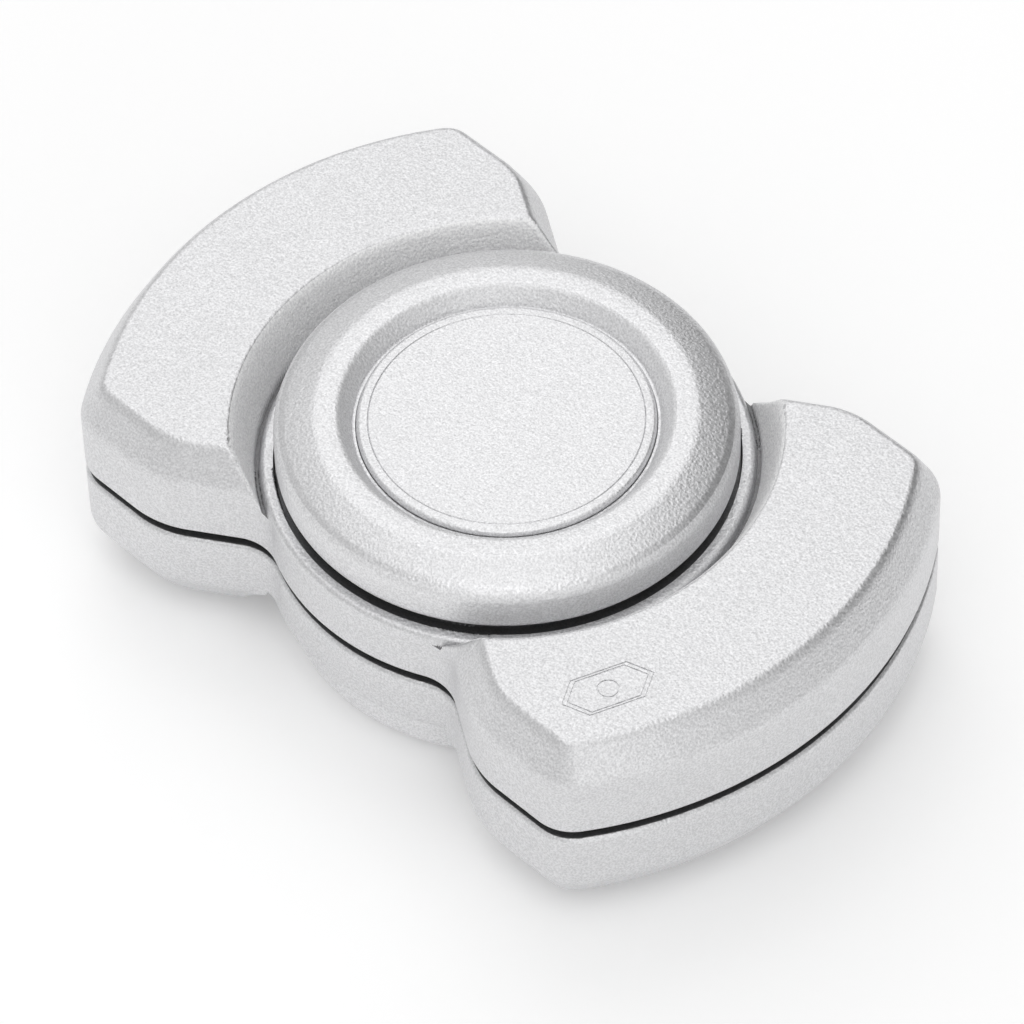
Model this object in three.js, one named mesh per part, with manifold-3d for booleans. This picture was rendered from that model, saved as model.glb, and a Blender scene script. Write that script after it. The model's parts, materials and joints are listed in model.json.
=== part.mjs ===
// A two-lobed fidget spinner: two body plates clamped round a ball bearing, held between two thumb buttons.
// Millimetres, +Z up. The origin is on the spin axis at the surface that the lower button rests on,
// and +X runs along the body. Both halves are alike, so the lower half is the upper half turned over.
import * as THREE from 'three';
import { mergeVertices } from 'three/addons/utils/BufferGeometryUtils.js';
import Module from 'manifold-3d';

const wasm = await Module();
wasm.setup();

// ---------------------------------------------------------------- driving dimensions
const bodyHalfLength = 25.2;       // spin axis to the tip of a lobe
const bodyHalfWidth = 15.9;
const endArcRadius = 25.4;         // the curved end of a lobe
const sideHalfLength = 13.1;       // spin axis to the shoulder, where a straight side turns in to the waist
const shoulderAngle = 32.5;        // degrees between the side and the slanted edge that leads to the waist
const endCornerRadius = 2.8;
const shoulderRadius = 6.4;
const neckRadius = 2.9;            // hollow corner between the slanted edge and the waist
const waistRadius = 14.4;          // the round middle of the body

const plateGap = 0.8;              // dark groove between the two plates
const landInset = 1.8;             // how deep that groove is
const seatClearance = 0.1;         // left between faces that touch on the real object
const edgeBreak = 0.2;             // small chamfer on the groove's lips
const lobeHeight = 6.45;           // groove to the top of a lobe
const platformHeight = 3.75;       // groove to the top of the round middle platform
const lobeEdge = [[0, 3.95], [0.3, 4.65], [1.35, lobeHeight]];   // [inset, height above the groove]

const platformRadius = waistRadius - 0.05;
const platformFillet = 0.35;
const moatRadius = 14.8;           // narrow channel between the platform and the lobes
const moatDepth = 0.6;
const rimWidth = 0.72;             // the platform's edge, outside a shallow channel round the button
const channelInnerRadius = 12.6;
const channelDepth = 0.45;
const lobeInnerTopRadius = 15.95;  // where the lobes' inner slope meets their top

const buttonRadius = 13.5;
const buttonClearance = 0.3;       // platform to button
const buttonHeight = 3.55;
const buttonWall = 2.0;
const crestOuterRadius = 11.1;
const crestInnerRadius = 9.7;
const dishRadius = 8.9;
const dishDepth = 1.1;
const bossRadius = 4.1;            // presses on the bearing's inner ring through a shim
const discRadius = 8.7;
const discRise = 0.35;             // the disc stands this far above the dish
const discThickness = 1.0;
const discBevel = 0.3;

const bearingBore = 6.35;          // R188
const bearingOuter = 12.7;
const bearingWidth = 4.76;
const ballDiameter = 1.588;
const ballCount = 10;
const racewayClearance = 0.07;
const innerRingRadius = 4.2;       // outside of the inner ring's shoulders
const outerRingRadius = 5.3;       // inside of the outer ring's shoulders
const shimThickness = 0.25;
const lipOverhang = 0.3;           // the plates' lips leave this much of the outer ring's face uncovered
const cage = { bottom: -1.3, top: 0.45, ringClearance: 0.12, pocketClearance: 0.18 };

const sleeveRadius = 3.1;
const sleeveBore = 1.55;
const socketDepth = 0.95;          // how far the sleeve enters each button
const buttonScrew = { shank: 1.4, head: 2.6, headHeight: 1.3, length: 3.6 };
const plateScrew = { shank: 0.95, head: 1.8, headHeight: 1.1, length: 6.6, pitchRadius: 10.3 };
const pin = { radius: 1.5, halfLength: 3.0, offset: 19.8 };
const holeClearance = 0.12;
const screwHeadSink = 0.1;         // a screw's head stops this far below the face around it
const samePoint = 1e-5;            // arcs that meet in a tangent share a point
const over = 1;                    // a cutting tool runs this far past the face that it opens

const bodySegments = 56;           // sides of a round shape, by its size
const buttonSegments = 48;
const discSegments = 40;
const bearingSegments = 32;
const sleeveSegments = 28;
const smallSegments = 12;

// ---------------------------------------------------------------- worked out from them
const grooveZ = plateGap / 2;                          // heights here count from the plane between the plates
const platformTop = grooveZ + platformHeight;
const buttonBottom = platformTop + buttonClearance;
const buttonTop = buttonBottom + buttonHeight;
const dishFloor = buttonTop - dishDepth;
const discTop = dishFloor + discRise;
const discSeat = discTop - discThickness - seatClearance;
const screwSeat = discSeat - buttonScrew.headHeight - screwHeadSink - seatClearance / 2;
const bearingHalf = bearingWidth / 2;
const shimBottom = bearingHalf + seatClearance / 2;
const bossBottom = shimBottom + shimThickness + seatClearance / 2;
const pitchRadius = (bearingBore + bearingOuter) / 4;
const ballRadius = ballDiameter / 2;

// ---------------------------------------------------------------- materials
const finish = (color, roughness, metalness) =>
  new THREE.MeshStandardMaterial({ color, roughness, metalness });
const blastedMetal = finish(0xd9d9db, 0.55, 0.9);
const buttonMetal = finish(0xd6d6d8, 0.5, 0.9);
const bearingSteel = finish(0xc4c7cb, 0.22, 1.0);
const screwSteel = finish(0x8f9297, 0.35, 1.0);
const brassMetal = finish(0xc7a356, 0.35, 1.0);
const cagePlastic = finish(0x4b4036, 0.6, 0.0);

// ---------------------------------------------------------------- booleans
function toSolid(geometry) {
  const bare = geometry.clone();
  bare.deleteAttribute('normal');
  bare.deleteAttribute('uv');
  const merged = mergeVertices(bare, 1e-4);
  const mesh = new wasm.Mesh({
    numProp: 3,
    vertProperties: new Float32Array(merged.attributes.position.array),
    triVerts: new Uint32Array(merged.index.array),
  });
  return new wasm.Manifold(mesh);
}

function toGeometry(solid) {
  const mesh = solid.getMesh();
  const geometry = new THREE.BufferGeometry();
  geometry.setAttribute('position', new THREE.BufferAttribute(new Float32Array(mesh.vertProperties), 3));
  geometry.setIndex(new THREE.BufferAttribute(new Uint32Array(mesh.triVerts), 1));
  geometry.computeVertexNormals();
  return geometry;
}

const cutFrom = (base, tools) =>
  toGeometry(tools.reduce((solid, tool) => solid.subtract(toSolid(tool)), toSolid(base)));

// ---------------------------------------------------------------- turned shapes
// profile: [radius, height] from the bottom on the axis round to the top on the axis, or a closed loop
function turned(profile, segments) {
  const points = profile.map(([r, z]) => new THREE.Vector2(r, z));
  return new THREE.LatheGeometry(points, segments).rotateX(Math.PI / 2);
}

const disc = (radius, bottom, top, segments) =>
  turned([[0, bottom], [radius, bottom], [radius, top], [0, top]], segments);

const tube = (inner, outer, bottom, top, segments) =>
  turned([[inner, bottom], [outer, bottom], [outer, top], [inner, top], [inner, bottom]], segments);

const arcPoints = (centreR, centreZ, radius, fromDeg, toDeg, steps) =>
  Array.from({ length: steps + 1 }, (_, k) => {
    const angle = THREE.MathUtils.degToRad(fromDeg + ((toDeg - fromDeg) * k) / steps);
    return [centreR + radius * Math.cos(angle), centreZ + radius * Math.sin(angle)];
  });

// ---------------------------------------------------------------- body outline
// One quarter of the outline is five arcs that meet in tangents or short straight edges.
// Each is given by its centre and by the directions that its outward normal sweeps, so an inset
// only changes the radii.
function quarterArcs() {
  const endCentreX = bodyHalfLength - endArcRadius;
  const cornerY = bodyHalfWidth - endCornerRadius;
  const cornerX = endCentreX + Math.sqrt((endArcRadius - endCornerRadius) ** 2 - cornerY ** 2);
  const slant = THREE.MathUtils.degToRad(shoulderAngle);
  const shoulderX = sideHalfLength + shoulderRadius * Math.tan(slant / 2);
  const normalX = -Math.sin(slant);
  const normalY = Math.cos(slant);
  const lineOffset = normalX * sideHalfLength + normalY * bodyHalfWidth + neckRadius;
  const along = Math.sqrt((waistRadius + neckRadius) ** 2 - lineOffset ** 2);
  const neckX = lineOffset * normalX + along * normalY;
  const neckY = lineOffset * normalY - along * normalX;
  const cornerAngle = Math.atan2(cornerY, cornerX - endCentreX);
  const neckAngle = Math.atan2(neckY, neckX);
  const up = Math.PI / 2;
  const shoulderY = bodyHalfWidth - shoulderRadius;
  const arc = (x, y, radius, from, to, steps) => ({ x, y, radius, from, to, steps });
  return [
    arc(endCentreX, 0, endArcRadius, 0, cornerAngle, 6),
    arc(cornerX, cornerY, endCornerRadius, cornerAngle, up, 3),
    arc(shoulderX, shoulderY, shoulderRadius, up, up + slant, 3),
    arc(neckX, neckY, -neckRadius, up + slant, neckAngle, 3),
    arc(0, 0, waistRadius, neckAngle, up, 5),
  ];
}

function outline(inset) {
  const quarter = [];
  for (const arc of quarterArcs()) {
    const reach = arc.radius - inset;
    for (let k = 0; k <= arc.steps; k += 1) {
      const angle = arc.from + ((arc.to - arc.from) * k) / arc.steps;
      const point = [arc.x + reach * Math.cos(angle), arc.y + reach * Math.sin(angle)];
      const last = quarter.at(-1) ?? [Infinity, 0];
      if (Math.hypot(point[0] - last[0], point[1] - last[1]) > samePoint) quarter.push(point);
    }
  }
  const left = quarter.slice(0, -1).reverse().map(([x, y]) => [-x, y]);
  const upper = [...quarter, ...left];
  const lower = upper.slice(1, -1).reverse().map(([x, y]) => [x, -y]);
  return [...upper, ...lower];
}

// A closed solid from outlines stacked upward: levels is a list of [inset, height]
function stacked(levels) {
  const rings = levels.map(([inset, z]) => outline(inset).map(([x, y]) => [x, y, z]));
  const count = rings[0].length;
  const index = [];
  for (let level = 0; level + 1 < rings.length; level += 1) {
    for (let i = 0; i < count; i += 1) {
      const a = level * count + i;
      const b = level * count + ((i + 1) % count);
      index.push(a, b, b + count, a, b + count, a + count);
    }
  }
  const flat = (ring) => ring.map(([x, y]) => new THREE.Vector2(x, y));
  const capOf = (ring) => THREE.ShapeUtils.triangulateShape(flat(ring), []);
  const topStart = (rings.length - 1) * count;
  capOf(rings[0]).forEach(([a, b, c]) => index.push(a, c, b));
  capOf(rings.at(-1)).forEach(([a, b, c]) => index.push(topStart + a, topStart + b, topStart + c));
  const geometry = new THREE.BufferGeometry();
  geometry.setAttribute('position', new THREE.Float32BufferAttribute(rings.flat(2), 3));
  geometry.setIndex(index);
  return geometry;
}

// ---------------------------------------------------------------- body plates
function plateBlank() {
  const body = toSolid(stacked([
    [landInset, seatClearance / 2],
    [landInset, grooveZ],
    [edgeBreak, grooveZ],
    [0, grooveZ + edgeBreak],
    ...lobeEdge.map(([inset, height]) => [inset, grooveZ + height]),
  ]));
  const lobeTop = grooveZ + lobeHeight;
  const moatFloor = platformTop - moatDepth;
  const slope = (lobeInnerTopRadius - moatRadius) / (lobeTop - platformTop);
  const pit = turned([
    [0, moatFloor], [moatRadius, moatFloor], [moatRadius, platformTop],
    [lobeInnerTopRadius + slope * over, lobeTop + over], [0, lobeTop + over],
  ], bodySegments);
  const platform = turned([
    [0, moatFloor - over], [platformRadius, moatFloor - over], [platformRadius, platformTop - platformFillet],
    [platformRadius - platformFillet, platformTop], [0, platformTop],
  ], bodySegments);
  const channel = tube(channelInnerRadius, platformRadius - rimWidth, platformTop - channelDepth,
    platformTop + over, bodySegments);
  return toGeometry(body.subtract(toSolid(pit)).add(toSolid(platform)).subtract(toSolid(channel)));
}

function bearingPocket() {
  const pocketRadius = bearingOuter / 2 + seatClearance;
  const pocketTop = bearingHalf + seatClearance;
  const lipRadius = outerRingRadius + lipOverhang;
  return turned([[0, -over], [pocketRadius, -over], [pocketRadius, pocketTop], [lipRadius, pocketTop],
    [lipRadius, platformTop + over], [0, platformTop + over]], bearingSegments);
}

const screwAngles = [45, 135, 225, 315].map(THREE.MathUtils.degToRad);
const screwPlaces = screwAngles.map((angle) =>
  [plateScrew.pitchRadius * Math.cos(angle), plateScrew.pitchRadius * Math.sin(angle)]);
const screwHeadTop = platformTop - screwHeadSink;
const screwTip = screwHeadTop - plateScrew.headHeight - plateScrew.length;

const pinHoles = () => [-pin.offset, pin.offset].map((x) =>
  disc(pin.radius + holeClearance, -over, pin.halfLength + holeClearance, smallSegments).translate(x, 0, 0));

function upperPlate() {
  const seat = screwHeadTop - plateScrew.headHeight - seatClearance;
  const shankHole = plateScrew.shank + holeClearance;
  const headHole = plateScrew.head + holeClearance;
  const screwHoles = screwPlaces.map(([x, y]) => turned([
    [0, -over], [shankHole, -over], [shankHole, seat], [headHole, seat], [headHole, platformTop + over],
    [0, platformTop + over],
  ], smallSegments).translate(x, y, 0));
  return cutFrom(plateBlank(), [bearingPocket(), ...pinHoles(), ...screwHoles]);
}

function lowerPlate() {
  const depth = -screwTip + holeClearance;
  const threadedHoles = screwPlaces.map(([x, y]) =>
    disc(plateScrew.shank + holeClearance, -over, depth, smallSegments).translate(x, y, 0));
  return cutFrom(plateBlank(), [bearingPocket(), ...pinHoles(), ...threadedHoles]);
}

// ---------------------------------------------------------------- thumb button
function thumbButton() {
  const socketRadius = sleeveRadius + holeClearance;
  const socketTop = bossBottom + socketDepth + holeClearance;
  const holeRadius = buttonScrew.shank + holeClearance;
  const headHoleRadius = buttonScrew.head + holeClearance;
  const seatRadius = discRadius + holeClearance;
  return turned([
    [holeRadius, socketTop], [socketRadius, socketTop], [socketRadius, bossBottom], [bossRadius, bossBottom],
    [bossRadius, buttonBottom], [buttonRadius - edgeBreak, buttonBottom],
    [buttonRadius, buttonBottom + edgeBreak], [buttonRadius, buttonBottom + buttonWall],
    [crestOuterRadius, buttonTop], [crestInnerRadius, buttonTop], [dishRadius, dishFloor],
    [seatRadius, dishFloor], [seatRadius, discSeat], [headHoleRadius, discSeat], [headHoleRadius, screwSeat],
    [holeRadius, screwSeat], [holeRadius, socketTop],
  ], buttonSegments);
}

const buttonDisc = () => turned([
  [0, discTop - discThickness], [discRadius, discTop - discThickness], [discRadius, discTop - discBevel],
  [discRadius - discBevel, discTop], [0, discTop],
], discSegments);

function capScrew(spec, headTop, segments) {
  const seat = headTop - spec.headHeight;
  return turned([[0, seat - spec.length], [spec.shank, seat - spec.length], [spec.shank, seat],
    [spec.head, seat], [spec.head, headTop], [0, headTop]], segments);
}

// ---------------------------------------------------------------- bearing
// The inner ring's groove opens outward, the outer ring's inward
function bearingRing(borderRadius, landRadius, opensOutward) {
  const reach = ballRadius + racewayClearance;
  const across = Math.abs(pitchRadius - landRadius);
  const half = THREE.MathUtils.radToDeg(Math.acos(across / reach));
  const middle = opensOutward ? 180 : 0;
  const groove = arcPoints(pitchRadius, 0, reach, middle - half, middle + half, 4);
  const rising = opensOutward ? groove.reverse() : groove;
  const loop = [
    [borderRadius, -bearingHalf], [landRadius, -bearingHalf], ...rising,
    [landRadius, bearingHalf], [borderRadius, bearingHalf], [borderRadius, -bearingHalf],
  ];
  return turned(opensOutward ? loop : loop.reverse(), bearingSegments);
}

const ballAngle = (index) => (2 * Math.PI * index) / ballCount;

// A crown cage: a ring on one side of the balls, with prongs that reach up between them
function bearingCage() {
  const inner = innerRingRadius + cage.ringClearance;
  const outer = outerRingRadius - cage.ringClearance;
  const ring = tube(inner, outer, cage.bottom, cage.top, bearingSegments);
  const pockets = Array.from({ length: ballCount }, (_, index) => {
    const angle = ballAngle(index);
    return new THREE.IcosahedronGeometry(ballRadius + cage.pocketClearance, 1)
      .translate(pitchRadius * Math.cos(angle), pitchRadius * Math.sin(angle), 0);
  });
  return cutFrom(ring, pockets);
}

// ---------------------------------------------------------------- assembly
const spinner = new THREE.Group();
spinner.position.z = buttonTop;

function add(name, geometry, material, turnedOver = false) {
  const mesh = new THREE.Mesh(geometry, material);
  mesh.name = name;
  if (turnedOver) mesh.rotation.x = Math.PI;
  spinner.add(mesh);
  return mesh;
}

add('upper_plate', upperPlate(), blastedMetal);
add('lower_plate', lowerPlate(), blastedMetal, true);

screwPlaces.forEach(([x, y], index) => {
  const shape = capScrew(plateScrew, screwHeadTop, smallSegments);
  add(`plate_screw_${index + 1}`, shape, screwSteel).position.set(x, y, 0);
});

for (const [side, x] of [['left', -pin.offset], ['right', pin.offset]]) {
  const dowel = disc(pin.radius, -pin.halfLength, pin.halfLength, smallSegments);
  add(`locating_pin_${side}`, dowel, bearingSteel).position.x = x;
}

const buttonScrewTop = screwSeat + seatClearance / 2 + buttonScrew.headHeight;
for (const [side, turnedOver] of [['upper', false], ['lower', true]]) {
  add(`${side}_button`, thumbButton(), buttonMetal, turnedOver);
  add(`${side}_button_disc`, buttonDisc(), buttonMetal, turnedOver);
  add(`${side}_button_screw`, capScrew(buttonScrew, buttonScrewTop, smallSegments), screwSteel, turnedOver);
  const shimTop = shimBottom + shimThickness;
  const shim = tube(sleeveRadius + holeClearance, bossRadius, shimBottom, shimTop, sleeveSegments);
  add(`${side}_shim`, shim, brassMetal, turnedOver);
}

const sleeveHalf = bossBottom + socketDepth;
const sleeve = tube(sleeveBore, sleeveRadius, -sleeveHalf, sleeveHalf, sleeveSegments);
add('axle_sleeve', sleeve, screwSteel);
add('bearing_inner_ring', bearingRing(bearingBore / 2, innerRingRadius, true), bearingSteel);
add('bearing_outer_ring', bearingRing(bearingOuter / 2, outerRingRadius, false), bearingSteel);
add('bearing_cage', bearingCage(), cagePlastic);

for (let index = 0; index < ballCount; index += 1) {
  const label = String(index + 1).padStart(2, '0');
  const ball = add(`bearing_ball_${label}`, new THREE.IcosahedronGeometry(ballRadius, 1), bearingSteel);
  const angle = ballAngle(index);
  ball.position.set(pitchRadius * Math.cos(angle), pitchRadius * Math.sin(angle), 0);
}

export default spinner;
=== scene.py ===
"""Two-lobed fidget spinner in bead-blasted metal.

Lengths are in millimetres here and in metres in the scene. Heights are over the plane between the two plates.
"""

import json
import math

import bmesh
import bpy
import numpy as np
from mathutils import Matrix, Vector
from mathutils.geometry import delaunay_2d_cdt


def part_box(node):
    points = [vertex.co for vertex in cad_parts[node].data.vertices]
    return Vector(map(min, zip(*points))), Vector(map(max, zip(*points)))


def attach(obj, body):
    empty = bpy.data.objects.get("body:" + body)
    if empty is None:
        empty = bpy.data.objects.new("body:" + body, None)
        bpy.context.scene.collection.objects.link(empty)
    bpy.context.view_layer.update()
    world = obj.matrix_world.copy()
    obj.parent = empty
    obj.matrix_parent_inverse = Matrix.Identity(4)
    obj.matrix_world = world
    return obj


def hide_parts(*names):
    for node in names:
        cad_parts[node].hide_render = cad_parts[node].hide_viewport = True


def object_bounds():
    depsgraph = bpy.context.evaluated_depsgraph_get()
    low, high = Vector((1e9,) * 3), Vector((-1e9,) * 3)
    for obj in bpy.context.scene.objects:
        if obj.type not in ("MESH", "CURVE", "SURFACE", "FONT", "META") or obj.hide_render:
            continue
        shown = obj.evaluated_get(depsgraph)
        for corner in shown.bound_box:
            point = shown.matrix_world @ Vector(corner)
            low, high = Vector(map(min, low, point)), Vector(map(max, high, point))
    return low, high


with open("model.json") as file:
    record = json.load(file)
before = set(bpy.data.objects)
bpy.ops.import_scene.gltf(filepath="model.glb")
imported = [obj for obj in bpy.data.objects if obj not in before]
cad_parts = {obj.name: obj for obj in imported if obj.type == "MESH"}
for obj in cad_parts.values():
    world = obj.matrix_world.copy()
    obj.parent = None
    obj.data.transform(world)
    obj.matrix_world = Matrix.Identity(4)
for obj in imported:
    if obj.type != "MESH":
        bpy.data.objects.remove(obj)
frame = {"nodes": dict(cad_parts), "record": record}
cad_low, cad_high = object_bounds()

MM = 0.001
TAU = 2 * math.pi

# The height of the plane between the plates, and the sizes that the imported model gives
MID_Z = (cad_low.z + cad_high.z) / 2 / MM
HALF_LENGTH = cad_high.x / MM
HALF_WIDTH = cad_high.y / MM
LOBE_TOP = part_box("upper_plate")[1].z / MM - MID_Z
LAND_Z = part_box("upper_plate")[0].z / MM - MID_Z
BUTTON_TOP = cad_high.z / MM - MID_Z
BUTTON_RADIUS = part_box("upper_button")[1].x / MM
DISC_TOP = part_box("upper_button_disc")[1].z / MM - MID_Z
DISC_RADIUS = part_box("upper_button_disc")[1].x / MM

# Body outline
END_RADIUS = 25.4             # the curved end of a lobe
SIDE_HALF_LENGTH = 13.1       # spin axis to the shoulder
SHOULDER_ANGLE = math.radians(32.5)
CORNER_RADIUS = 2.8
SHOULDER_RADIUS = 6.4
NECK_RADIUS = 2.9             # hollow corner between the slanted edge and the waist
WAIST_RADIUS = 14.4

# Side of a plate, from the groove between the plates to the crest of a lobe
GROOVE_Z = 0.4
LAND_INSET = 1.8              # the plates meet this far in, at the bottom of the groove
UPPER_LIP = 0.08              # rounding of the groove's lip
LOWER_LIP = 0.3
WALL_TOP = GROOVE_Z + 3.6
ROUND_RADIUS = 1.6
CREST_INSET = 1.35

# Platform under a button, the channel in it, the moat round it and the lobes' inner slopes
PLATFORM_TOP = GROOVE_Z + 3.75
PLATFORM_FILLET = 0.35
CHANNEL_INNER = 12.6
CHANNEL_OUTER = 13.63
CHANNEL_FLOOR = PLATFORM_TOP - 0.45
MOAT_FLOOR = PLATFORM_TOP - 0.6
MOAT_RADIUS = 14.8
SLOPE_TOP_RADIUS = 15.95

# Holes inside a plate
CUT_BOTTOM = -1               # a cutter starts below the plates' plane and ends above the platform
CUT_TOP = 6
BEARING_SEAT_RADIUS = 6.45
BEARING_SEAT_TOP = 2.48
BORE_RADIUS = 5.6
PIN_X = 19.8
PIN_HOLE_RADIUS = 1.62
PIN_HOLE_TOP = 3.12
SCREW_CIRCLE = 10.3
SCREW_ANGLES = (45, 135, 225, 315)
SCREW_HOLE_RADIUS = 1.07
THROUGH_HOLE_TOP = 3.5
BLIND_HOLE_TOP = 3.795
HEAD_HOLE_RADIUS = 1.92
HEAD_HOLE_BOTTOM = 2.825

# Engraved mark on one lobe
MARK_CENTRE = (18.0, -10.0)
MARK_TURN = math.radians(68)
MARK_LINE = 0.09
MARK_DEPTH = 0.05
MARK_CORNERS = ((2.8, 0), (1.7, 1.35), (-1.7, 1.35), (-2.8, 0), (-1.7, -1.35), (1.7, -1.35))
MARK_INNER_SHARE = 0.88       # the inner hexagon's size over the outer one's
MARK_RING_RADIUS = 0.6

# Button and disc
BUTTON_BOTTOM = BUTTON_TOP - 3.55
RING_OUTER_RADIUS = 11.1      # the flat ring on top
RING_INNER_RADIUS = 9.7
DISH_TOP_RADIUS = 9.8
DISH_FLOOR_RADIUS = 8.92
DISH_FLOOR = DISC_TOP - 0.35
DISC_LINE_RADIUS = 8.02
DISC_LINE_DEPTH = 0.05
DISC_LINE_HALF_WIDTH = 0.045

# Fineness of the meshes
OUTLINE_STEP = 0.16
NECK_STEP = 0.045
CLIFF = 0.1                   # an upright step in a plate's top is drawn this wide
SLOPE_BLEND = 0.8             # softness of the crest between a lobe's edge and its inner slope
TOP_BLEND = 0.6               # softness of the crest round a lobe's top
EDGE_INSETS = np.concatenate([
    [0.0, 0.006, 0.02, 0.04, 0.065, 0.095, 0.13, 0.17, 0.215, 0.265, 0.32, 0.38, 0.46, 0.56],
    np.arange(0.66, 1.8, 0.08), np.arange(1.86, 2.6, 0.14)])
LIP_STEPS = 5
FILLET_STEPS = 5              # in a quarter turn
RING_STEP = 0.22
RING_CLEARANCE = 0.09         # least distance from a ring's points to the innermost outline ring
FAR_INSIDE = 50.0             # an inset at which the outer edge has no effect
BUTTON_SEGMENTS = 384
HOLE_SEGMENTS = 64
BEARING_SEAT_SEGMENTS = 96
SHARP_ANGLE = math.radians(24)

# Scales of the metals' grain, in waves per metre
FINE_GRAIN = 8200
SPECK_GRAIN = 5200
CLOUD_GRAIN = 220

# Indices of the materials on a plate or button: a near-black metal for painted shade in the recesses, and a
# paler metal for painted light on the shaded slopes and walls
PAINTED_SHADE_FACE = 1
PAINTED_LIGHT_FACE = 2

CAMERA = {"azimuth": 46.32, "elevation": 49.73, "roll": -1.81, "distance": 396.5, "lens": 238.4,
          "aim_right": 0.166, "aim_up": -0.755}
LIGHT_DISTANCE_M = 2.0
FLOOR_HALF_M = 3.0


# ---------------------------------------------------------------- body surface
def quarter_arcs():
    """A quarter of the outline as arcs: centre, radius (negative if hollow) and the normal's sweep."""
    end_x = HALF_LENGTH - END_RADIUS
    corner_y = HALF_WIDTH - CORNER_RADIUS
    corner_x = end_x + math.sqrt((END_RADIUS - CORNER_RADIUS) ** 2 - corner_y ** 2)
    shoulder_x = SIDE_HALF_LENGTH + SHOULDER_RADIUS * math.tan(SHOULDER_ANGLE / 2)
    nx, ny = -math.sin(SHOULDER_ANGLE), math.cos(SHOULDER_ANGLE)
    offset = nx * SIDE_HALF_LENGTH + ny * HALF_WIDTH + NECK_RADIUS
    along = math.sqrt((WAIST_RADIUS + NECK_RADIUS) ** 2 - offset ** 2)
    neck_x, neck_y = offset * nx + along * ny, offset * ny - along * nx
    up = math.pi / 2
    corner_angle = math.atan2(corner_y, corner_x - end_x)
    neck_angle = math.atan2(neck_y, neck_x)
    return [
        (end_x, 0, END_RADIUS, 0, corner_angle),
        (corner_x, corner_y, CORNER_RADIUS, corner_angle, up),
        (shoulder_x, HALF_WIDTH - SHOULDER_RADIUS, SHOULDER_RADIUS, up, up + SHOULDER_ANGLE),
        (neck_x, neck_y, -NECK_RADIUS, up + SHOULDER_ANGLE, neck_angle),
        (0, 0, WAIST_RADIUS, neck_angle, up),
    ]


def outline():
    """Points and outward normals of the body outline, anticlockwise, at an even step."""
    points, normals = [], []
    for x, y, radius, start, end in quarter_arcs():
        step = NECK_STEP if radius < 0 else OUTLINE_STEP
        count = max(6, round(abs(radius * (end - start)) / step))
        for t in np.linspace(start, end, count + 1):
            point = np.array([x + radius * math.cos(t), y + radius * math.sin(t)])
            if points and np.linalg.norm(point - points[-1]) < 1e-6:
                continue
            if points and np.linalg.norm(point - points[-1]) > 1.5 * OUTLINE_STEP:
                # A straight edge between two arcs
                gap = point - points[-1]
                extra = round(np.linalg.norm(gap) / OUTLINE_STEP)
                for _ in range(1, extra):
                    points.append(points[-1] + gap / extra)
                    normals.append(normals[-1])
            points.append(point)
            normals.append(np.array([math.cos(t), math.sin(t)]))
    quarter, turn = np.array(points), np.array(normals)
    flip = np.array([-1, 1])
    half = np.vstack([quarter, (quarter[:-1] * flip)[::-1]])
    half_turn = np.vstack([turn, (turn[:-1] * flip)[::-1]])
    return (np.vstack([half, (half[1:-1] * -flip)[::-1]]),
            np.vstack([half_turn, (half_turn[1:-1] * -flip)[::-1]]))


def soft_min(a, b, width):
    """The lower of a and b, rounded off where they are nearer to each other than width."""
    blend = np.maximum(width - np.abs(a - b), 0) / width
    return np.minimum(a, b) - blend * blend * width / 4


def chamfer_angle():
    """The angle from the wall at which a straight chamfer leaves the round and reaches the crest."""
    rise = LOBE_TOP - WALL_TOP
    angles = np.linspace(0.2, 1.4, 4000)
    reach = (ROUND_RADIUS * (1 - np.cos(angles))
             + (rise - ROUND_RADIUS * np.sin(angles)) * np.tan(angles))
    return float(angles[np.argmin(np.abs(reach - CREST_INSET))])


CHAMFER = chamfer_angle()


def edge_height(inset):
    """Height of the outer edge over its inset: an upright wall, a round and a straight chamfer."""
    round_inset = ROUND_RADIUS * (1 - math.cos(CHAMFER))
    on_round = np.sqrt(ROUND_RADIUS ** 2 - np.maximum(ROUND_RADIUS - inset, 0) ** 2)
    on_chamfer = ROUND_RADIUS * math.sin(CHAMFER) + (inset - round_inset) / math.tan(CHAMFER)
    return WALL_TOP + np.where(inset < round_inset, on_round, on_chamfer)


def surface_height(x, y, inset):
    """Height of a plate's outer side."""
    r = np.hypot(x, y)
    edge = edge_height(inset)
    slope_width = SLOPE_TOP_RADIUS - MOAT_RADIUS
    slope = PLATFORM_TOP + (r - MOAT_RADIUS) * (LOBE_TOP - PLATFORM_TOP) / slope_width
    lobe = soft_min(soft_min(edge, slope, SLOPE_BLEND), np.full_like(edge, LOBE_TOP), TOP_BLEND)
    moat = np.minimum(edge, MOAT_FLOOR)
    across = np.clip((r - MOAT_RADIUS + CLIFF) / CLIFF, 0, 1)
    height = moat + (np.maximum(lobe, moat) - moat) * across
    fillet = np.clip(r - (WAIST_RADIUS - PLATFORM_FILLET), 0, PLATFORM_FILLET)
    platform = PLATFORM_TOP - PLATFORM_FILLET + np.sqrt(PLATFORM_FILLET ** 2 - fillet ** 2)
    into = np.clip(np.minimum(r - CHANNEL_INNER, CHANNEL_OUTER - r) / CLIFF, 0, 1)
    platform = platform + (CHANNEL_FLOOR - platform) * into * into * (3 - 2 * into)
    down = np.clip((r - WAIST_RADIUS) / CLIFF, 0, 1)
    return platform + (height - platform) * down * down * (3 - 2 * down)


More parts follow.
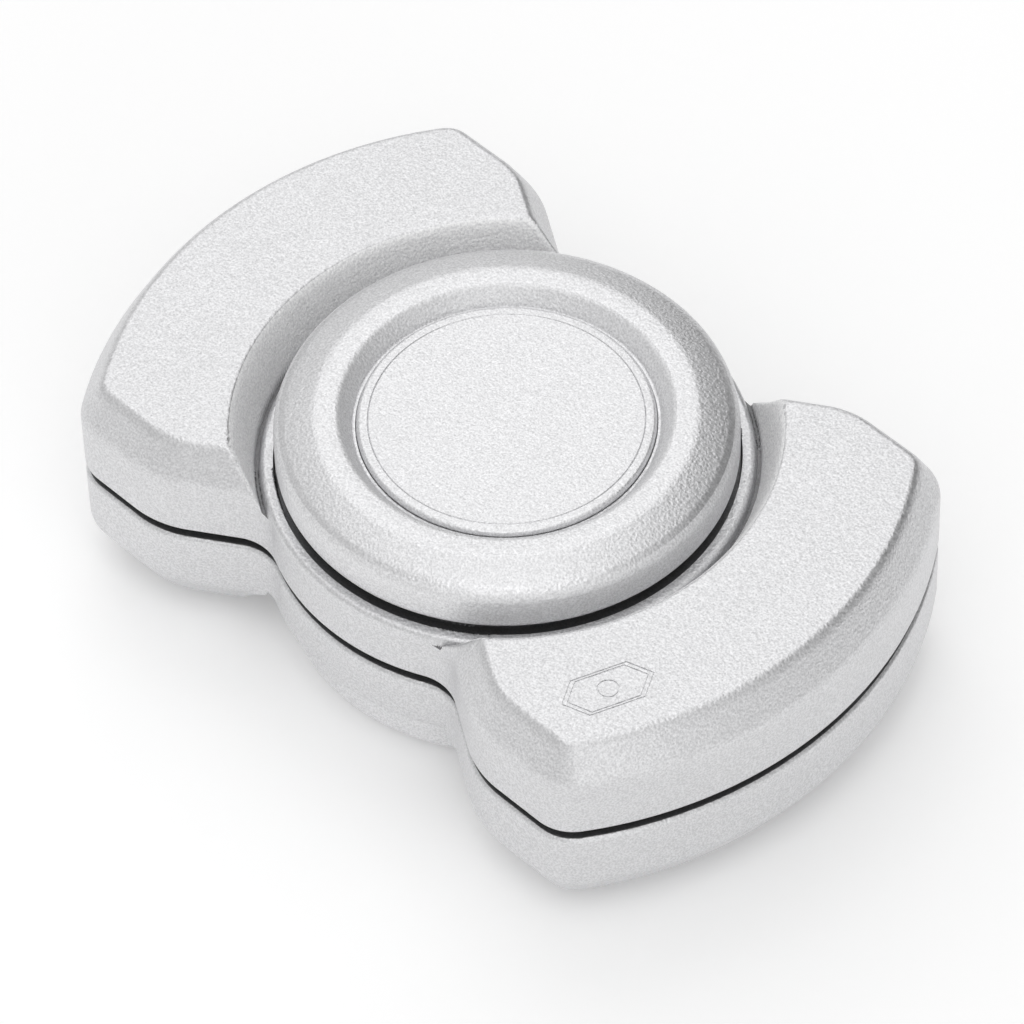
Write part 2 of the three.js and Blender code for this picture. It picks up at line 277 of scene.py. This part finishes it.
# ---------------------------------------------------------------- mesh tools
def mesh_object(name, vertices, faces):
    """A smooth-shaded object in the scene, from vertices in millimetres."""
    mesh = bpy.data.meshes.new(name)
    mesh.from_pydata([Vector(v) * MM for v in vertices], [], [list(f) for f in faces])
    mesh.update()
    work = bmesh.new()
    work.from_mesh(mesh)
    bmesh.ops.remove_doubles(work, verts=work.verts, dist=2e-7)
    bmesh.ops.recalc_face_normals(work, faces=work.faces)
    work.to_mesh(mesh)
    work.free()
    mesh.polygons.foreach_set("use_smooth", [True] * len(mesh.polygons))
    mesh.set_sharp_from_angle(angle=SHARP_ANGLE)
    obj = bpy.data.objects.new(name, mesh)
    bpy.context.scene.collection.objects.link(obj)
    return obj


def weigh_normals(obj):
    """Keeps large flat faces flat beside small rounded ones."""
    modifier = obj.modifiers.new("weighted normals", "WEIGHTED_NORMAL")
    modifier.keep_sharp = True
    modifier.weight = 60


def cut(obj, cutters):
    """Takes each cutter out of obj and removes the cutter."""
    for cutter in cutters:
        modifier = obj.modifiers.new("cut", "BOOLEAN")
        modifier.operation = "DIFFERENCE"
        modifier.solver = "MANIFOLD"
        modifier.object = cutter
        graph = bpy.context.evaluated_depsgraph_get()
        result = bpy.data.meshes.new_from_object(obj.evaluated_get(graph))
        obj.modifiers.clear()
        old = obj.data
        result.name = old.name + "_cut"
        obj.data = result
        bpy.data.meshes.remove(old)
        bpy.data.objects.remove(cutter)
    obj.data.set_sharp_from_angle(angle=SHARP_ANGLE)
    return obj


def turned(name, profile, segments, centre=(0, 0)):
    """A solid of revolution from a closed profile of (radius, height)."""
    vertices, faces, rings = [], [], []
    for r, z in profile:
        if r < 1e-9:
            rings.append([len(vertices)])
            vertices.append((centre[0], centre[1], z))
            continue
        rings.append(list(range(len(vertices), len(vertices) + segments)))
        for k in range(segments):
            angle = TAU * k / segments
            vertices.append((centre[0] + r * math.cos(angle), centre[1] + r * math.sin(angle), z))
    for lower, upper in zip(rings, rings[1:] + rings[:1]):
        if len(lower) == 1 and len(upper) == 1:
            continue
        for k in range(segments):
            n = (k + 1) % segments
            a, b = lower[k % len(lower)], lower[n % len(lower)]
            c, d = upper[n % len(upper)], upper[k % len(upper)]
            faces.append([v for i, v in enumerate((a, b, c, d)) if v not in (a, b, c, d)[:i]])
    return mesh_object(name, vertices, faces)


def rounded(points):
    """A profile from corners (radius, height, fillet): a corner becomes a fillet arc, or stays sharp at 0."""
    out = []
    for i, (r, z, fillet) in enumerate(points):
        corner = np.array([r, z], float)
        if fillet <= 0:
            out.append(tuple(corner))
            continue
        before = np.array(points[i - 1][:2], float) - corner
        after = np.array(points[(i + 1) % len(points)][:2], float) - corner
        before_length, after_length = np.linalg.norm(before), np.linalg.norm(after)
        before, after = before / before_length, after / after_length
        angle = math.acos(np.clip(before @ after, -1, 1))
        tangent = min(fillet / math.tan(angle / 2), 0.48 * before_length, 0.48 * after_length)
        radius = tangent * math.tan(angle / 2)
        halfway = (before + after) / np.linalg.norm(before + after)
        middle = corner + halfway * radius / math.sin(angle / 2)
        start, end = corner + before * tangent - middle, corner + after * tangent - middle
        a0, a1 = math.atan2(start[1], start[0]), math.atan2(end[1], end[0])
        sweep = (a1 - a0 + math.pi) % TAU - math.pi
        count = max(2, round(FILLET_STEPS * abs(sweep) / (math.pi / 2)) + 1)
        for k in range(count + 1):
            t = a0 + sweep * k / count
            out.append((middle[0] + radius * math.cos(t), middle[1] + radius * math.sin(t)))
    return out


def turn_over(obj):
    """Turns a piece made for the upper half into its lower twin."""
    obj.data.transform(Matrix.Rotation(math.pi, 4, "X"))


def place(obj, body, node):
    """Lifts a piece to its height in the scene, and says what it rides on and replaces."""
    obj.data.transform(Matrix.Translation((0, 0, MID_Z * MM)))
    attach(obj, body)
    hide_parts(node)


def direction(azimuth, elevation):
    """Unit vector towards the given angles in degrees: azimuth 0 is -Y, and 90 is +X."""
    a, e = math.radians(azimuth), math.radians(elevation)
    return Vector((math.sin(a) * math.cos(e), -math.cos(a) * math.cos(e), math.sin(e)))


# ---------------------------------------------------------------- body plates
def plate(name, lip):
    """An upper plate without its holes. Its groove's lip is rounded to the given radius."""
    points, normals = outline()
    count = len(points)
    foot = GROOVE_Z + lip
    levels = [(LAND_INSET, LAND_Z), (LAND_INSET, GROOVE_Z)]
    for k in range(LIP_STEPS + 1):
        angle = math.pi / 2 * k / LIP_STEPS
        levels.append((lip * (1 - math.sin(angle)), GROOVE_Z + lip * (1 - math.cos(angle))))
    levels += [(0.0, foot + share * (WALL_TOP - foot)) for share in (0.4, 0.8)]
    rings = [(points - normals * inset, np.full(count, z)) for inset, z in levels]
    for inset in EDGE_INSETS:
        inner = points - normals * inset
        rings.append((inner, surface_height(inner[:, 0], inner[:, 1], np.full(count, inset))))
    vertices, faces = [], []
    for inner, z in rings:
        vertices.extend(zip(inner[:, 0], inner[:, 1], z))
    for level in range(len(rings) - 1):
        for i in range(count):
            a, b = level * count + i, level * count + (i + 1) % count
            faces.append((a, b, b + count, a + count))
    faces.append(tuple(range(count))[::-1])
    faces_inside(vertices, faces, (len(rings) - 1) * count, count, EDGE_INSETS[-1])
    return mesh_object(name, vertices, faces)


def feature_radii():
    """Radii of the rings of points on a plate's top, close together at the channel, fillet, moat and slope."""
    return [
        5.0, 9.0,
        *[CHANNEL_INNER + CLIFF * t for t in (0, 0.25, 0.5, 0.75, 1.0)],
        *[CHANNEL_OUTER - CLIFF * t for t in (1.0, 0.75, 0.5, 0.25, 0)],
        WAIST_RADIUS - PLATFORM_FILLET,
        *[WAIST_RADIUS - PLATFORM_FILLET * (1 - math.sin(t)) for t in np.linspace(0.3, math.pi / 2, 5)],
        *[WAIST_RADIUS + CLIFF * t for t in (0.35, 0.65, 1.0)],
        (WAIST_RADIUS + MOAT_RADIUS) / 2, MOAT_RADIUS - CLIFF,
        *np.linspace(MOAT_RADIUS, SLOPE_TOP_RADIUS + 0.6, 19),
        *np.arange(17.4, 25, 0.9)]


def faces_inside(vertices, faces, start, count, inset):
    """Fills the top inside the innermost outline ring, the count vertices from start on."""
    border = [Vector(vertices[start + i][:2]) for i in range(count)]
    border_array = np.array([tuple(p) for p in border])
    points, edges = list(border), []
    for radius in feature_radii():
        steps = int(TAU * radius / RING_STEP)
        angles = np.linspace(0, TAU, steps, endpoint=False)
        ring = np.column_stack([radius * np.cos(angles), radius * np.sin(angles)])
        keep = inside(ring, border_array) & (distance(ring, border_array) > RING_CLEARANCE)
        index = {}
        for k in np.nonzero(keep)[0]:
            index[k] = len(points)
            points.append(Vector(ring[k]))
        edges += [(index[k], index[(k + 1) % steps]) for k in index if (k + 1) % steps in index]
    border_face = [list(range(count))]
    out_points, _, out_faces, origin, _, _ = delaunay_2d_cdt(points, edges, border_face, 1, 1e-7)
    flat = np.array([tuple(p) for p in out_points])
    z = surface_height(flat[:, 0], flat[:, 1], np.full(len(flat), FAR_INSIDE))
    mapping = {}
    for k, source in enumerate(origin):
        first = min(source) if source else None
        if first is not None and first < count:
            mapping[k] = start + first
            continue
        mapping[k] = len(vertices)
        x, y = flat[k:k + 1].T
        depth = np.array([FAR_INSIDE])
        if first is None or z[k] > PLATFORM_TOP:
            depth = distance(flat[k:k + 1], border_array) + inset
        vertices.append((*flat[k], surface_height(x, y, depth)[0]))
    faces.extend(tuple(mapping[v] for v in face) for face in out_faces)


def inside(test, polygon):
    """Whether each test point is inside the polygon."""
    x, y = test[:, 0], test[:, 1]
    result = np.zeros(len(test), bool)
    for (x0, y0), (x1, y1) in zip(polygon, np.roll(polygon, -1, 0)):
        crosses = (y0 > y) != (y1 > y)
        result ^= crosses & (x < (x1 - x0) * (y - y0) / (y1 - y0 + 1e-15) + x0)
    return result


def distance(test, polygon):
    """Distance from each test point to the polygon's nearest corner."""
    gap = test[:, None, :] - polygon[None, :, :]
    return np.sqrt((gap ** 2).sum(2).min(1))


def cylinder(radius, top, centre, bottom=CUT_BOTTOM):
    return turned("cutter", [(0, bottom), (radius, bottom), (radius, top), (0, top)], HOLE_SEGMENTS, centre)


def bearing_cutter():
    """The bearing's seat, and the bore above it that the button's boss passes through."""
    profile = [(0, CUT_BOTTOM), (BEARING_SEAT_RADIUS, CUT_BOTTOM), (BEARING_SEAT_RADIUS, BEARING_SEAT_TOP),
               (BORE_RADIUS, BEARING_SEAT_TOP), (BORE_RADIUS, CUT_TOP), (0, CUT_TOP)]
    return turned("cutter", profile, BEARING_SEAT_SEGMENTS)


def hole_cutters(through):
    """Cutters for the bearing, the pins and the screws, which pass through one plate and end in the other."""
    cutters = [bearing_cutter()]
    cutters += [cylinder(PIN_HOLE_RADIUS, PIN_HOLE_TOP, (x, 0)) for x in (-PIN_X, PIN_X)]
    for angle in map(math.radians, SCREW_ANGLES):
        centre = (SCREW_CIRCLE * math.cos(angle), SCREW_CIRCLE * math.sin(angle))
        if through:
            cutters.append(cylinder(SCREW_HOLE_RADIUS, THROUGH_HOLE_TOP, centre))
            cutters.append(cylinder(HEAD_HOLE_RADIUS, CUT_TOP, centre, HEAD_HOLE_BOTTOM))
        else:
            cutters.append(cylinder(SCREW_HOLE_RADIUS, BLIND_HOLE_TOP, centre))
    return cutters


def loop_cutter(shape, width, bottom, top):
    """A closed strip of the given width that follows a loop of points, standing from bottom to top."""
    middle = shape.mean(0)
    before, after = np.roll(shape, 1, 0), np.roll(shape, -1, 0)
    along = after - before
    outward = np.column_stack([along[:, 1], -along[:, 0]]) / np.linalg.norm(along, axis=1)[:, None]
    outward *= np.sign(((shape - middle) * outward).sum(1))[:, None]
    count = len(shape)
    vertices = [(*xy, z) for z in (bottom, top) for side in (-0.5, 0.5)
                for xy in shape + outward * width * side]
    faces = []
    for k in range(count):
        n = (k + 1) % count
        for a, b in ((0, 1), (1, 3), (3, 2), (2, 0)):
            faces.append((a * count + k, b * count + k, b * count + n, a * count + n))
    return mesh_object("cutter", vertices, faces)


def mark_cutters():
    """A plain mark in fine lines on one lobe: a long hexagon in double lines, with a ring in its middle."""
    spin = np.array([[math.cos(MARK_TURN), math.sin(MARK_TURN)], [-math.sin(MARK_TURN), math.cos(MARK_TURN)]])
    corners = np.array(MARK_CORNERS)
    sides = np.vstack([a + (b - a) * np.linspace(0, 1, 12, endpoint=False)[:, None]
                       for a, b in zip(corners, np.roll(corners, -1, 0))])
    angles = np.linspace(0, TAU, 48, endpoint=False)
    ring = MARK_RING_RADIUS * np.column_stack([np.cos(angles), np.sin(angles)])
    bottom, top = LOBE_TOP - MARK_DEPTH, LOBE_TOP + 0.5
    return [loop_cutter(loop @ spin + MARK_CENTRE, MARK_LINE, bottom, top)
            for loop in (sides, sides * MARK_INNER_SHARE, ring)]


# ---------------------------------------------------------------- buttons
def button(name):
    """A thumb button: boss below, rounded rim, flat ring and dish on top, and a seat for the disc and screw."""
    bottom, top = BUTTON_BOTTOM, BUTTON_TOP
    boss_radius, socket_radius, head_radius, hole_radius = 4.1, 3.22, 2.72, 1.52
    boss_bottom, socket_top = 2.73, 3.8
    disc_hole_radius, disc_seat, head_seat = DISC_RADIUS + 0.05, DISC_TOP - 1.1, DISC_TOP - 2.55
    wall_top, bevel_top, bevel_radius = bottom + 2.5, bottom + 2.97, 12.85
    profile = rounded([
        (hole_radius, socket_top, 0), (socket_radius, socket_top, 0), (socket_radius, boss_bottom, 0),
        (boss_radius, boss_bottom, 0.1), (boss_radius, bottom, 0.1),
        (BUTTON_RADIUS, bottom, 0.55), (BUTTON_RADIUS, wall_top, 0.95), (bevel_radius, bevel_top, 0.6),
        (RING_OUTER_RADIUS, top, 1.3), (RING_INNER_RADIUS, top, 0.45), (DISH_FLOOR_RADIUS, DISH_FLOOR, 0.12),
        (disc_hole_radius, DISH_FLOOR, 0), (disc_hole_radius, disc_seat, 0),
        (head_radius, disc_seat, 0), (head_radius, head_seat, 0), (hole_radius, head_seat, 0)])
    return turned(name, profile, BUTTON_SEGMENTS)


def button_disc(name):
    """The raised disc in a button's dish, with one fine turned line."""
    bottom = DISC_TOP - 1.0
    profile = rounded([
        (0, bottom, 0), (DISC_RADIUS, bottom, 0.05), (DISC_RADIUS, DISC_TOP, 0.25),
        (DISC_LINE_RADIUS + DISC_LINE_HALF_WIDTH, DISC_TOP, 0),
        (DISC_LINE_RADIUS, DISC_TOP - DISC_LINE_DEPTH, 0),
        (DISC_LINE_RADIUS - DISC_LINE_HALF_WIDTH, DISC_TOP, 0), (0, DISC_TOP, 0)])
    return turned(name, profile, BUTTON_SEGMENTS)


# ---------------------------------------------------------------- materials
def add_node(tree, kind, inputs, **settings):
    """Adds a shader node. Each input is given a value, or another node's output to be linked to."""
    node = tree.nodes.new("ShaderNode" + kind)
    for key, value in settings.items():
        setattr(node, key, value)
    for key, value in inputs.items():
        if isinstance(value, bpy.types.NodeSocket):
            tree.links.new(value, node.inputs[key])
        else:
            node.inputs[key].default_value = value
    return node


def new_material(name, metallic):
    """A material, its node tree, its shader and the object coordinates."""
    material = bpy.data.materials.new(name)
    material.use_nodes = True
    tree = material.node_tree
    shader = tree.nodes["Principled BSDF"]
    shader.inputs["Metallic"].default_value = metallic
    return material, tree, shader, add_node(tree, "TexCoord", {}).outputs["Object"]


def noise(tree, where, scale, detail):
    return add_node(tree, "TexNoise", {"Scale": scale, "Detail": detail, "Vector": where}).outputs["Fac"]


def spread(tree, source, source_range, result_range):
    """Maps a value from one range to another."""
    return add_node(tree, "MapRange", {
        "Value": source, "From Min": source_range[0], "From Max": source_range[1],
        "To Min": result_range[0], "To Max": result_range[1]}).outputs[0]


def shade(tree, share, colour, darkest, lightest):
    """A colour that varies from darkest to lightest times the given one."""
    return add_node(tree, "Mix", {
        "A": (*[c * darkest for c in colour], 1), "B": (*[min(1, c * lightest) for c in colour], 1),
        "Factor": share}, data_type="RGBA").outputs["Result"]


def multiply_add(tree, value, factor, addend):
    return add_node(tree, "Math", {0: value, 1: factor, 2: addend}, operation="MULTIPLY_ADD").outputs[0]


def bumps(tree, height, strength, depth_m):
    node = add_node(tree, "Bump", {"Height": height, "Strength": strength, "Distance": depth_m})
    return node.outputs["Normal"]


def blasted_metal(name, colour, roughness, grain, metallic=0.9):
    """Bead-blasted metal: small round dents, and a fine speckle in colour and gloss over faint clouds."""
    material, tree, shader, where = new_material(name, metallic)
    fine = noise(tree, where, FINE_GRAIN, 1)
    speckle = spread(tree, fine, (0.3, 0.7), (-0.25, 1.0))
    share = multiply_add(tree, noise(tree, where, CLOUD_GRAIN, 3), 0.25, speckle)
    gloss = spread(tree, noise(tree, where, SPECK_GRAIN, 1), (0.3, 0.7), (roughness - 0.07, roughness + 0.07))
    dents = add_node(tree, "TexVoronoi", {"Scale": SPECK_GRAIN, "Vector": where}, feature="SMOOTH_F1")
    height = multiply_add(tree, fine, 0.6, dents.outputs["Distance"])
    tree.links.new(shade(tree, share, colour, 0.86, 1.08), shader.inputs["Base Color"])
    tree.links.new(gloss, shader.inputs["Roughness"])
    tree.links.new(bumps(tree, height, grain, 0.00006), shader.inputs["Normal"])
    return material


def plain_surface(name, colour, roughness, scale, stretch=(1, 1, 1), metallic=1.0):
    """A machined or moulded surface: fine marks that are closer together along the stretched axis."""
    material, tree, shader, where = new_material(name, metallic)
    stretched = add_node(tree, "Mapping", {"Vector": where, "Scale": stretch}).outputs[0]
    marks = noise(tree, stretched, scale, 4)
    gloss = spread(tree, marks, (0, 1), (roughness - 0.05, roughness + 0.08))
    tree.links.new(shade(tree, marks, colour, 0.85, 1), shader.inputs["Base Color"])
    tree.links.new(gloss, shader.inputs["Roughness"])
    tree.links.new(bumps(tree, marks, 0.15, 0.00002), shader.inputs["Normal"])
    return material


body_metal = blasted_metal("blasted body metal", (0.72, 0.72, 0.73), 0.44, 0.45)
button_metal = blasted_metal("blasted button metal", (0.74, 0.74, 0.75), 0.42, 0.42)
# Paler copies of the blasted metal, with coarser grain, paint light onto the shaded inner slopes, the dish wall
# and the button's outer wall
button_painted_light_metal = blasted_metal("coarse blasted button metal painted lighter", (0.80, 0.80, 0.81), 0.55, 0.6, 0.6)
plate_painted_light_metal = blasted_metal("coarse blasted metal painted lighter", (0.94, 0.94, 0.95), 0.6, 0.7, 0.45)
# A near-black metal that paints shade into the groove, channel and moat and under the buttons
painted_shade_recess_metal = blasted_metal("near-black recess metal painted as shade", (0.20, 0.20, 0.205), 0.5, 0.2)
SLOT_MATERIALS = {
    "body_metal": body_metal,
    "button_metal": button_metal,
    "bearing_steel": plain_surface("ground bearing steel", (0.72, 0.73, 0.75), 0.2, 900, (1, 1, 6)),
    "screw_steel": plain_surface("machined screw steel", (0.52, 0.53, 0.55), 0.32, 1500, (1, 1, 5)),
    "shim_brass": plain_surface("rolled brass", (0.75, 0.60, 0.30), 0.3, 1200, (6, 1, 1)),
    "cage_plastic": plain_surface("moulded cage plastic", (0.22, 0.17, 0.12), 0.5, 2500, metallic=0.0),
}


def paint(obj, material):
    obj.data.materials.clear()
    obj.data.materials.append(material)


def face_material(face, is_button):
    """Which material a face of a plate or button has: its own, the near-black painted shade of the recesses, or
    the paler painted light of the shaded slopes and walls.
    """
    x, y, z = face.center / MM
    r, z = math.hypot(x, y), abs(z - MID_Z)
    inward = -(face.normal.x * x + face.normal.y * y) / max(r, 0.1)
    level = abs(face.normal.z)
    in_groove = z < GROOVE_Z + 0.03
    in_channel = CHANNEL_INNER < r < CHANNEL_OUTER and z < PLATFORM_TOP - 0.05
    in_moat = level > 0.5 and WAIST_RADIUS + 0.02 < r < MOAT_RADIUS and abs(z - MOAT_FLOOR) < 0.12
    under_button = level > 0.9 and abs(z - BUTTON_BOTTOM) < 0.05
    # The groove, channel, moat and button's underside get the near-black metal as painted shade
    if in_groove or in_channel or in_moat or under_button:
        return PAINTED_SHADE_FACE
    on_slope = MOAT_RADIUS - 0.05 < r < SLOPE_TOP_RADIUS + 0.1 and z > MOAT_FLOOR
    on_dish_wall = DISC_RADIUS + 0.1 < r < DISH_TOP_RADIUS and z > DISC_TOP - 0.4
    on_button_wall = is_button and inward < -0.6 and r > 13
    # Inward slopes, the dish wall and the button's outer wall get the paler metal as painted light
    if inward > 0.35 and (on_slope or on_dish_wall) or on_button_wall:
        return PAINTED_LIGHT_FACE
    return 0


def paint_details(obj, slope, is_button):
    """Paints shade into the recesses with a near-black metal, and paints light onto the slopes and the button's
    wall with a paler, coarser metal.
    """
    obj.data.materials.append(painted_shade_recess_metal)
    obj.data.materials.append(slope)
    for face in obj.data.polygons:
        face.material_index = face_material(face, is_button)


for entry in frame["record"]["subparts"]:
    paint(frame["nodes"][entry["node"]], SLOT_MATERIALS[entry["material_slot"]])

# ---------------------------------------------------------------- pieces
for half in ("upper", "lower"):
    is_upper = half == "upper"
    cutters = hole_cutters(is_upper)
    if is_upper:
        cutters += mark_cutters()
    shell = cut(plate(f"{half}_body_plate", UPPER_LIP if is_upper else LOWER_LIP), cutters)
    cap = button(f"{half}_thumb_button")
    disc = button_disc(f"{half}_dished_disc")
    for obj, body, node, slot in (
            (shell, "rotor", f"{half}_plate", "body_metal"),
            (cap, "hub", f"{half}_button", "button_metal"),
            (disc, "hub", f"{half}_button_disc", "button_metal")):
        if not is_upper:
            turn_over(obj)
        place(obj, body, node)
        paint(obj, SLOT_MATERIALS[slot])
        if obj is not disc:
            # Painted shade goes into the recesses and painted light onto the slopes and walls
            paint_details(obj, button_painted_light_metal if obj is cap else plate_painted_light_metal, obj is cap)
        weigh_normals(obj)


# ---------------------------------------------------------------- floor, light and camera
def stage_floor():
    """A pale floor that glows a little, under the lower button."""
    mesh = bpy.data.meshes.new("floor")
    half = FLOOR_HALF_M
    corners = [(-half, -half, 0), (half, -half, 0), (half, half, 0), (-half, half, 0)]
    mesh.from_pydata(corners, [], [(0, 1, 2, 3)])
    floor = bpy.data.objects.new("floor", mesh)
    bpy.context.scene.collection.objects.link(floor)
    material = bpy.data.materials.new("pale floor")
    material.use_nodes = True
    shader = material.node_tree.nodes["Principled BSDF"]
    shader.inputs["Base Color"].default_value = (0.97, 0.97, 0.97, 1)
    shader.inputs["Roughness"].default_value = 0.9
    shader.inputs["Specular IOR Level"].default_value = 0.0
    shader.inputs["Emission Color"].default_value = (1, 1, 1, 1)
    shader.inputs["Emission Strength"].default_value = 0.11
    mesh.materials.append(material)


def area_light(name, azimuth, elevation, size_m, power):
    """A round soft light that shines on the object from the given direction."""
    data = bpy.data.lights.new(name, "AREA")
    data.shape = "DISK"
    data.size = size_m
    data.energy = power
    light = bpy.data.objects.new(name, data)
    back = direction(azimuth, elevation)
    light.location = back * LIGHT_DISTANCE_M
    light.rotation_euler = back.to_track_quat("Z", "Y").to_euler()
    bpy.context.scene.collection.objects.link(light)


def studio_world(bright, dark, azimuth, elevation):
    """A white room that is darker on one side, towards the given direction."""
    world = bpy.data.worlds.new("studio")
    world.use_nodes = True
    tree = world.node_tree
    coords = add_node(tree, "TexCoord", {})
    facing = add_node(tree, "VectorMath", {0: coords.outputs["Generated"], 1: direction(azimuth, elevation)},
                      operation="DOT_PRODUCT")
    fade = add_node(tree, "MapRange", {
        "Value": facing.outputs["Value"], "From Min": 0.55, "From Max": 0.95, "To Min": bright, "To Max": dark},
        interpolation_type="SMOOTHSTEP")
    background = tree.nodes["Background"]
    background.inputs["Color"].default_value = (1, 1, 1, 1)
    tree.links.new(fade.outputs["Result"], background.inputs["Strength"])
    bpy.context.scene.world = world


def camera():
    """A long lens that looks down on the object from the front right."""
    roll = math.radians(CAMERA["roll"])
    back = direction(CAMERA["azimuth"], CAMERA["elevation"])
    right = Vector((0, 0, 1)).cross(back).normalized()
    up = back.cross(right)
    right, up = (right * math.cos(roll) + up * math.sin(roll),
                 up * math.cos(roll) - right * math.sin(roll))
    data = bpy.data.cameras.new("camera")
    data.sensor_width = 36
    data.lens = CAMERA["lens"]
    data.clip_start = 0.01
    data.clip_end = 20
    obj = bpy.data.objects.new("camera", data)
    target = Vector((0, 0, MID_Z * MM)) + (right * CAMERA["aim_right"] + up * CAMERA["aim_up"]) * MM
    rotation = Matrix((right, up, back)).transposed().to_4x4()
    obj.matrix_world = Matrix.Translation(target + back * CAMERA["distance"] * MM) @ rotation
    bpy.context.scene.collection.objects.link(obj)
    bpy.context.scene.camera = obj


stage_floor()
area_light("top", azimuth=0, elevation=90, size_m=2.4, power=6.2)
area_light("front", azimuth=46, elevation=60, size_m=1.8, power=5.8)
area_light("back", azimuth=226, elevation=50, size_m=1.8, power=6.0)
area_light("low", azimuth=62, elevation=12, size_m=1.1, power=2.6)
studio_world(bright=0.66, dark=0.12, azimuth=168, elevation=14)
bpy.context.scene.view_settings.view_transform = "Standard"
camera()
